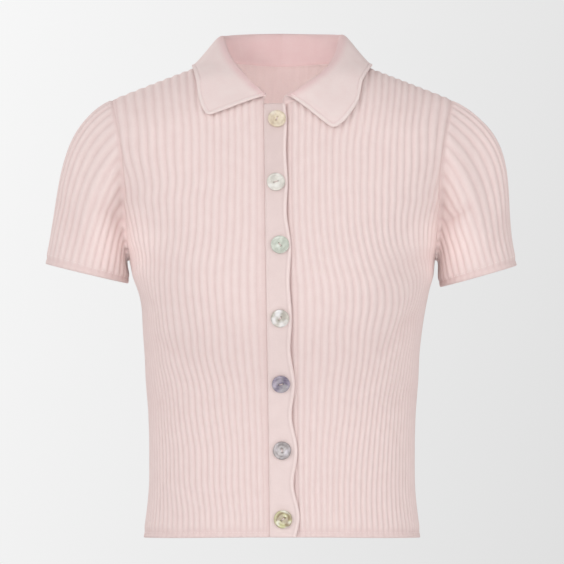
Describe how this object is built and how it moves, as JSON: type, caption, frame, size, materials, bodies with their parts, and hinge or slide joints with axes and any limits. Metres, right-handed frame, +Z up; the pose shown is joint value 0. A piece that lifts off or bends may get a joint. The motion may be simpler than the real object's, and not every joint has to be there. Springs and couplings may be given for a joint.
{
  "type": "short sleeve cardigan",
  "caption": "Cropped short sleeve cardigan in a fine rib knit, filled out as worn, with a plain pointed collar, an overlapping button band and narrow self-finished hem and cuffs.",
  "frame": {"origin": "midway between the two high points of the shoulders, where the wearer's shoulders carry the garment", "axes": "+X towards the wearer's left, -Y towards the front (the button band), +Z up"},
  "size_m": [0.4822, 0.2277, 0.5178],
  "materials": {
    "rib_knit": "soft matt fine rib knit",
    "plain_knit": "soft matt plain knit",
    "shell_cream": "polished shell, cream",
    "shell_white": "polished shell, white",
    "shell_green_white": "polished shell, green white",
    "shell_grey_white": "polished shell, grey white",
    "shell_mauve_grey": "polished shell, mauve grey",
    "shell_grey": "polished shell, grey",
    "shell_olive": "polished shell, olive"
  },
  "bodies": {
    "root": {"front_right": "rib_knit", "front_left": "rib_knit", "back": "rib_knit", "sleeve_right": "rib_knit", "sleeve_left": "rib_knit", "collar": "plain_knit", "band_right": "plain_knit", "band_left": "plain_knit", "button_1": "shell_cream", "button_2": "shell_white", "button_3": "shell_green_white", "button_4": "shell_grey_white", "button_5": "shell_mauve_grey", "button_6": "shell_grey", "button_7": "shell_olive"}
  },
  "joints": []
}
